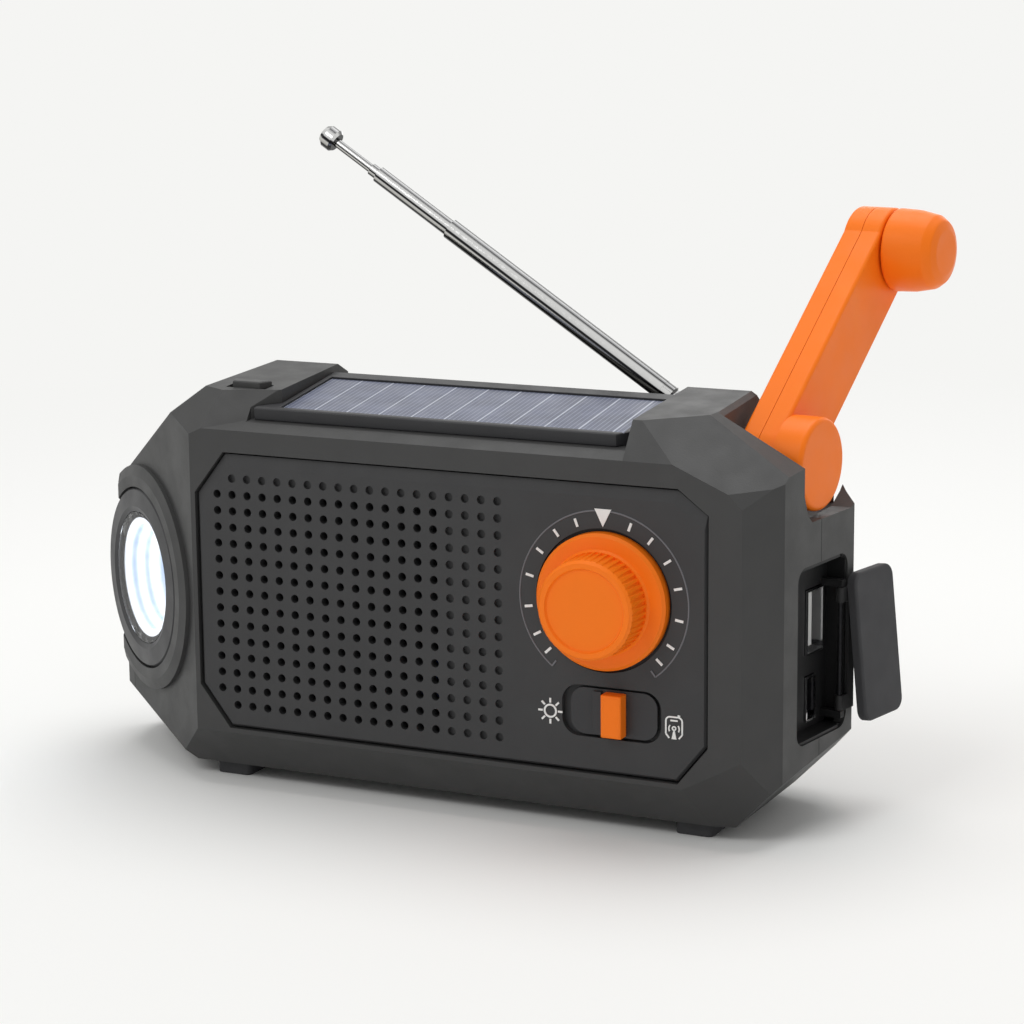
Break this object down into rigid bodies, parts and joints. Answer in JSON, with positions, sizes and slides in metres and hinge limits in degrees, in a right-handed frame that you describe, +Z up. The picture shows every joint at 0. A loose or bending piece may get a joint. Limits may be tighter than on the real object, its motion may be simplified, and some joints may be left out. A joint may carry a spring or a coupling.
{
  "type": "hand crank weather radio",
  "caption": "Emergency radio with crank-driven dynamo, solar top, torch, tuning dial, telescopic antenna and covered charging ports.",
  "frame": {"origin": "on the table under the middle of the whole radio with its crank and port cover", "axes": "+X to the right of the front face, +Y to the rear, +Z up"},
  "size_m": [0.1764, 0.0882, 0.134],
  "materials": {
    "case_plastic": "fine moulded grain",
    "panel_plastic": "fine moulded grain",
    "trim_plastic": "satin",
    "orange_plastic": "satin",
    "rubber": "matt",
    "solar_glass": "clear coated",
    "clear_lens": "clear",
    "mirror_coat": "vapour coated",
    "lamp_white": "lit",
    "chrome": "polished",
    "steel": "turned",
    "brass": "turned",
    "copper": "enamelled wire",
    "board_green": "solder mask",
    "gear_plastic": "natural acetal",
    "ferrite": "sintered",
    "cone_paper": "pressed pulp",
    "cell_wrap": "shrink wrap",
    "tongue_plastic": "satin"
  },
  "bodies": {
    "case": {"battery_cell": "cell_wrap", "case_screws": "steel", "cover_hinge_pin": "steel", "dynamo_bushes": "brass", "dynamo_can": "steel", "dynamo_stator": "copper", "ferrite_coil": "copper", "ferrite_rod": "ferrite", "front_panel": "panel_plastic", "front_shell": "case_plastic", "gear_axles": "steel", "gear_plate_inner": "steel", "gear_plate_outer": "steel", "main_board": "board_green", "mode_switch_body": "steel", "port_frame": "trim_plastic", "power_switch": "board_green", "rear_shell": "case_plastic", "rubber_feet": "rubber", "solar_frame": "trim_plastic", "solar_panel": "solar_glass", "speaker_basket": "steel", "speaker_cone": "cone_paper", "speaker_magnet": "ferrite", "torch_bezel": "trim_plastic", "torch_led": "lamp_white", "torch_led_board": "board_green", "torch_lens": "clear_lens", "torch_reflector": "mirror_coat", "tuning_capacitor": "gear_plastic", "usb_a_shell": "chrome", "usb_a_tongue": "tongue_plastic", "usb_board": "board_green", "usb_c_shell": "chrome", "usb_c_tongue": "tongue_plastic"},
    "crank_drive": {"drive_gear": "gear_plastic"},
    "crank": {"crank_shaft": "steel", "crank_hub": "orange_plastic", "crank_arm_inner": "orange_plastic", "crank_arm_outer": "orange_plastic", "grip_pin": "steel"},
    "crank_grip": {"crank_grip": "orange_plastic"},
    "gear_two": {"middle_gear": "gear_plastic"},
    "gear_three": {"fast_gear": "gear_plastic"},
    "rotor": {"dynamo_rotor": "steel"},
    "knob": {"tuning_knob": "orange_plastic", "tuning_shaft": "gear_plastic"},
    "mode_switch": {"mode_slider": "trim_plastic", "mode_grip": "orange_plastic"},
    "button": {"power_button": "case_plastic"},
    "antenna_base": {"antenna_swivel": "steel", "antenna_pin": "steel"},
    "antenna_first": {"antenna_knuckle": "chrome", "antenna_tube_one": "chrome"},
    "antenna_second": {"antenna_tube_two": "chrome"},
    "antenna_third": {"antenna_tube_three": "chrome"},
    "antenna_last": {"antenna_rod": "chrome", "antenna_tip": "chrome"},
    "cover_straps": {"port_straps": "rubber"},
    "cover": {"port_cover": "rubber"}
  },
  "joints": [
    {"name": "crank_turn", "type": "hinge", "parent": "case", "child": "crank_drive", "pos_m": [0.0783, -0.01011, 0.0726], "axis": [0.9903, -0.1392, 0], "range_deg": [-30, 55]},
    {"name": "crank_pull", "type": "slide", "parent": "crank_drive", "child": "crank", "axis": [0.9903, -0.1392, 0], "range_m": [0, 0.019]},
    {"name": "grip_spin", "type": "hinge", "parent": "crank", "child": "crank_grip", "pos_m": [0.08443, 0.03351, 0.10956], "axis": [0.9903, -0.1392, 0], "continuous": true},
    {"name": "middle_gear_turn", "type": "hinge", "parent": "case", "child": "gear_two", "pos_m": [0.0783, -0.01011, 0.0612], "axis": [0.9903, -0.1392, 0], "range_deg": [-160, 90]},
    {"name": "fast_gear_turn", "type": "hinge", "parent": "case", "child": "gear_three", "pos_m": [0.07897, -0.00537, 0.05219], "axis": [0.9903, -0.1392, 0], "range_deg": [-210, 380]},
    {"name": "rotor_turn", "type": "hinge", "parent": "case", "child": "rotor", "pos_m": [0.07844, -0.00915, 0.04274], "axis": [0.9903, -0.1392, 0], "range_deg": [-900, 500]},
    {"name": "tuning_knob_turn", "type": "hinge", "parent": "case", "child": "knob", "pos_m": [0.04124, -0.03511, 0.04756], "axis": [0, -1, 0], "range_deg": [-140, 140]},
    {"name": "mode_switch_slide", "type": "slide", "parent": "case", "child": "mode_switch", "axis": [1, 0, 0], "range_m": [-0.0014, 0.0006]},
    {"name": "power_button_press", "type": "slide", "parent": "case", "child": "button", "axis": [0, 0, -1], "range_m": [0, 0.0008], "stiffness_N_per_m": 700, "springref_m": -0.002},
    {"name": "antenna_swing", "type": "hinge", "parent": "case", "child": "antenna_base", "pos_m": [0.04268, 0.00589, 0.0786], "axis": [0, 1, 0], "range_deg": [-32.5, 85]},
    {"name": "antenna_tilt", "type": "hinge", "parent": "antenna_base", "child": "antenna_first", "pos_m": [0.04268, 0.00589, 0.0786], "axis": [-0.5439, 0, -0.8391], "range_deg": [0, 90]},
    {"name": "antenna_second_slide", "type": "slide", "parent": "antenna_first", "child": "antenna_second", "axis": [-0.8391, 0, 0.5439], "range_m": [-0.019, 0.027]},
    {"name": "antenna_third_slide", "type": "slide", "parent": "antenna_second", "child": "antenna_third", "axis": [-0.8391, 0, 0.5439], "range_m": [-0.0015, 0.042]},
    {"name": "antenna_last_slide", "type": "slide", "parent": "antenna_third", "child": "antenna_last", "axis": [-0.8391, 0, 0.5439], "range_m": [-0.0092, 0.03]},
    {"name": "cover_hinge", "type": "hinge", "parent": "case", "child": "cover_straps", "pos_m": [0.07884, -0.00416, 0.0347], "axis": [0, 0, -1], "range_deg": [0, 176]},
    {"name": "cover_flex", "type": "hinge", "parent": "cover_straps", "child": "cover", "pos_m": [0.07976, -0.00435, 0.0472], "axis": [0.2079, 0.9781, 0], "range_deg": [-0.5, 7.5]}
  ],
  "couplings": [
    {"joint": "middle_gear_turn", "follows": "crank_turn", "ratio": -2.8},
    {"joint": "fast_gear_turn", "follows": "crank_turn", "ratio": 6.72},
    {"joint": "rotor_turn", "follows": "crank_turn", "ratio": -16.128},
    {"joint": "cover_flex", "follows": "cover_hinge", "ratio": 0.034091}
  ]
}
